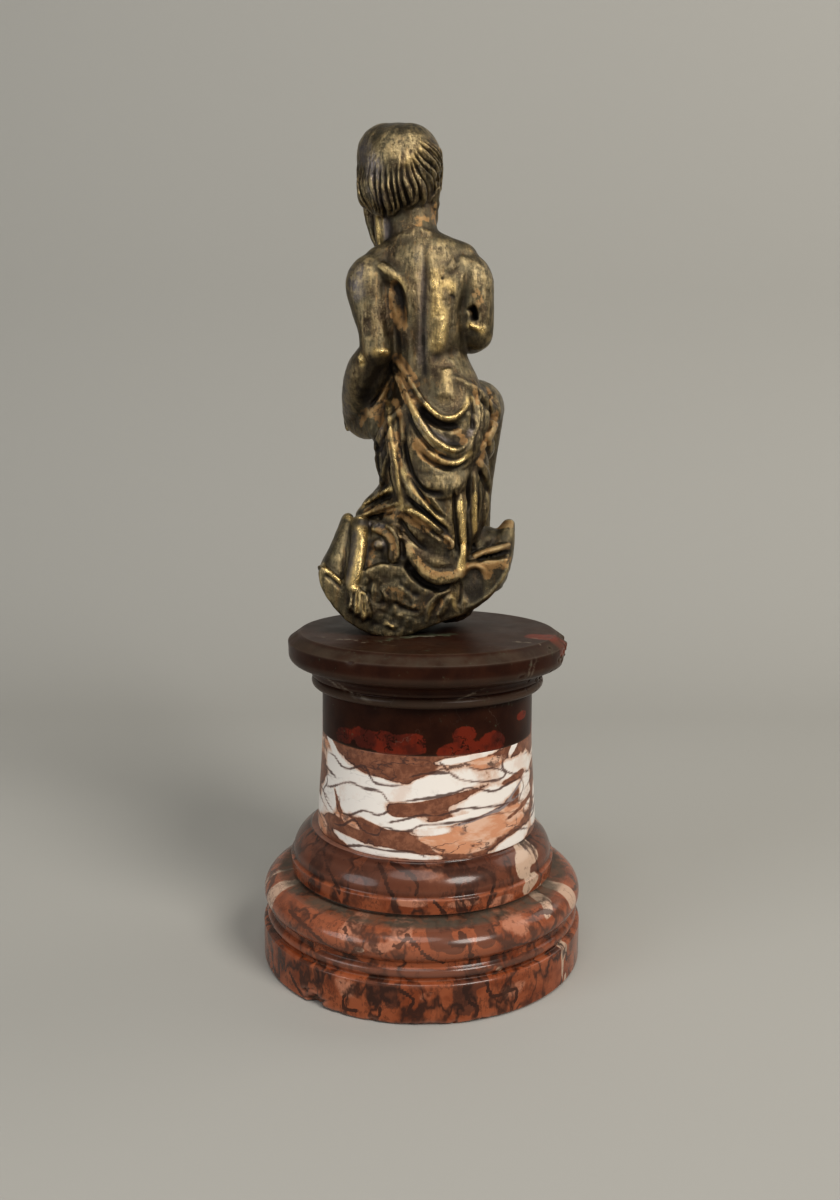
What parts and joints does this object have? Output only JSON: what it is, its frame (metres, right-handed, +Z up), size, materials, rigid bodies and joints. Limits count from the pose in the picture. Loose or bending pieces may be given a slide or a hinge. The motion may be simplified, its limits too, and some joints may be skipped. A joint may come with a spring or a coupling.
{
  "type": "philosopher statuette",
  "caption": "Small cast bronze of a bald, bearded philosopher with a draped mantle, kneeling on a crescent of rock, on a turned marble pedestal.",
  "frame": {"origin": "centre of the pedestal's underside", "axes": "+Z up; the figure faces -Y with its right hand side at -X, so +Y is the side of its bare back"},
  "size_m": [0.088, 0.088, 0.221],
  "materials": {
    "patinated_bronze": "glossy dark brown patina, rubbed to bright gold on the raised folds, tan in the hollows",
    "dark_marble": "polished dark brown marble with a few pale veins and red patches, dusty on top",
    "veined_marble": "polished white marble with brown patches, dark outline veins and pink zones",
    "red_marble": "polished rust-red marble with thin dark cracks and white patches"
  },
  "bodies": {
    "root": {"philosopher": "patinated_bronze", "pedestal_cap": "dark_marble", "pedestal_drum": "veined_marble", "pedestal_base": "red_marble"}
  },
  "joints": []
}
